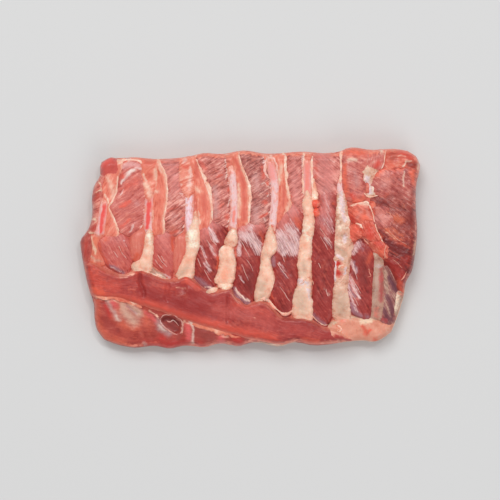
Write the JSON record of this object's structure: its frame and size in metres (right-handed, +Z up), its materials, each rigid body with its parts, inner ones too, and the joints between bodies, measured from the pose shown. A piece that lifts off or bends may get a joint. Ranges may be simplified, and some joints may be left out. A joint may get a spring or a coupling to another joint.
{
  "type": "raw rack of ribs",
  "caption": "Raw slab of pork ribs lying flat with its bone side up: bare bones above, strips of fat between muscles below, a skirt flap and a thick end muscle.",
  "frame": {"origin": "on the surface it lies on, under the middle of the slab's outline", "axes": "+X along the slab, across the ribs, towards the thick end muscle; +Y towards the sawn upper ends of the ribs; +Z up, out of the bone side"},
  "size_m": [0.2792, 0.1652, 0.0274],
  "materials": {
    "raw_meat": "moist, soft, satin",
    "rib_bone": "moist bone under a thin membrane"
  },
  "bodies": {
    "root": {"meat": "raw_meat", "rib_1": "rib_bone", "rib_2": "rib_bone", "rib_3": "rib_bone", "rib_4": "rib_bone", "rib_5": "rib_bone", "rib_6": "rib_bone", "rib_7": "rib_bone", "rib_8": "rib_bone"}
  },
  "joints": []
}
